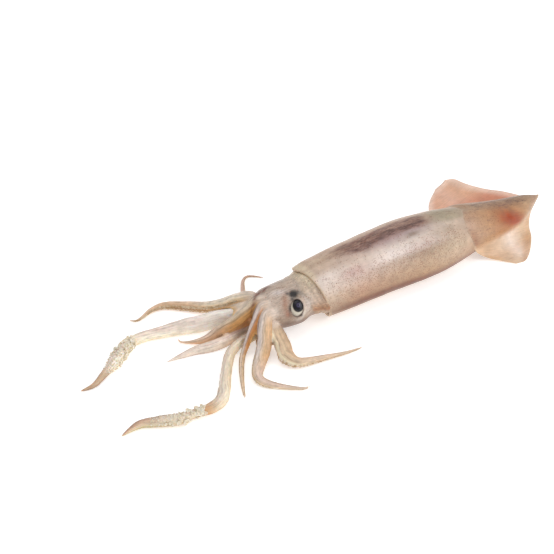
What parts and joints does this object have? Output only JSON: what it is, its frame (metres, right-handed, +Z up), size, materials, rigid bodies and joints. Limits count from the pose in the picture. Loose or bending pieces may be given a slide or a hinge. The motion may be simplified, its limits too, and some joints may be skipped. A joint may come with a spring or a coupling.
{
  "type": "whole raw squid",
  "caption": "Whole raw squid lying on its belly: conical mantle with thin side fins, head with eyes, and arms and longer tentacles spread over the table.",
  "frame": {"origin": "on the flat of the belly where the squid rests, under the middle line of the mantle, 95 mm behind the middle of the mouth of the mantle", "axes": "+X along the mantle towards the tail, +Z up from the table, -Y towards the squid's left side"},
  "size_m": [0.412, 0.1433, 0.047],
  "materials": {
    "mantle_skin": "moist semi-gloss skin with a dark back stripe and fine brown spots",
    "fin_skin": "moist, thin and slightly see-through",
    "head_skin": "moist semi-gloss skin with fine spots",
    "eye": "wet glossy lens",
    "arm_flesh": "moist semi-gloss flesh",
    "tentacle_flesh": "moist semi-gloss flesh"
  },
  "bodies": {
    "root": {"mantle": "mantle_skin", "fins": "fin_skin", "head": "head_skin", "eye_left": "eye", "eye_right": "eye", "arm_left_1": "arm_flesh", "arm_left_2": "arm_flesh", "arm_left_3": "arm_flesh", "arm_left_4": "arm_flesh", "arm_right_1": "arm_flesh", "arm_right_2": "arm_flesh", "arm_right_3": "arm_flesh", "arm_right_4": "arm_flesh", "tentacle_left": "tentacle_flesh", "tentacle_right": "tentacle_flesh"}
  },
  "joints": []
}
